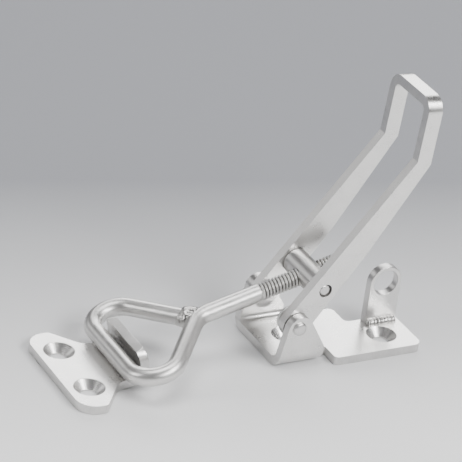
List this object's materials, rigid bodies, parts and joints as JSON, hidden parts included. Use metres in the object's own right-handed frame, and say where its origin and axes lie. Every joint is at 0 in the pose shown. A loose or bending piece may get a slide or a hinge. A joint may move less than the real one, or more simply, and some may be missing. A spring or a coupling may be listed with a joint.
{
  "type": "toggle bolt latch",
  "caption": "Over-centre toggle latch: folded base with padlock eye, U lever, barrel nut, adjustable loop bolt and hooked strike plate.",
  "frame": {"origin": "on the base underside, below the lever pivot and midway between the ears", "axes": "+X towards the padlock eye, -X towards the strike plate, +Z away from the mounting face, +Y along the pivot axis"},
  "size_m": [0.1346, 0.0505, 0.0963],
  "materials": {
    "sheet_steel": "satin polished stainless steel",
    "rod_steel": "bright polished stainless steel",
    "weld_steel": "polished weld bead"
  },
  "bodies": {
    "base": {"base_bracket": "sheet_steel", "padlock_eye": "sheet_steel", "eye_weld": "weld_steel", "pivot_rivet_near": "rod_steel", "pivot_rivet_far": "rod_steel"},
    "lever": {"lever": "sheet_steel"},
    "barrel": {"barrel_nut": "rod_steel"},
    "bolt": {"loop_bolt": "rod_steel", "loop_weld": "weld_steel"},
    "strike": {"strike_plate": "sheet_steel"}
  },
  "joints": [
    {"name": "lever_swing", "type": "hinge", "parent": "base", "child": "lever", "pos_m": [0, 0, 0.0156], "axis": [0, 1, 0], "range_deg": [0, 52.1]},
    {"name": "barrel_turn", "type": "hinge", "parent": "lever", "child": "barrel", "pos_m": [0.01052, 0, 0.02699], "axis": [0, 1, 0], "range_deg": [-42.45, 0]},
    {"name": "bolt_reach", "type": "slide", "parent": "barrel", "child": "bolt", "axis": [-0.9672, 0, -0.2539], "range_m": [-0.00254, 0.00762]},
    {"name": "hook_pivot", "type": "hinge", "parent": "bolt", "child": "strike", "pos_m": [-0.0628, 0, 0.00775], "axis": [0, 1, 0], "range_deg": [-9.85, 0]}
  ],
  "couplings": [
    {"joint": "barrel_turn", "follows": "lever_swing", "ratio": -0.81288},
    {"joint": "hook_pivot", "follows": "lever_swing", "ratio": -0.18712}
  ]
}
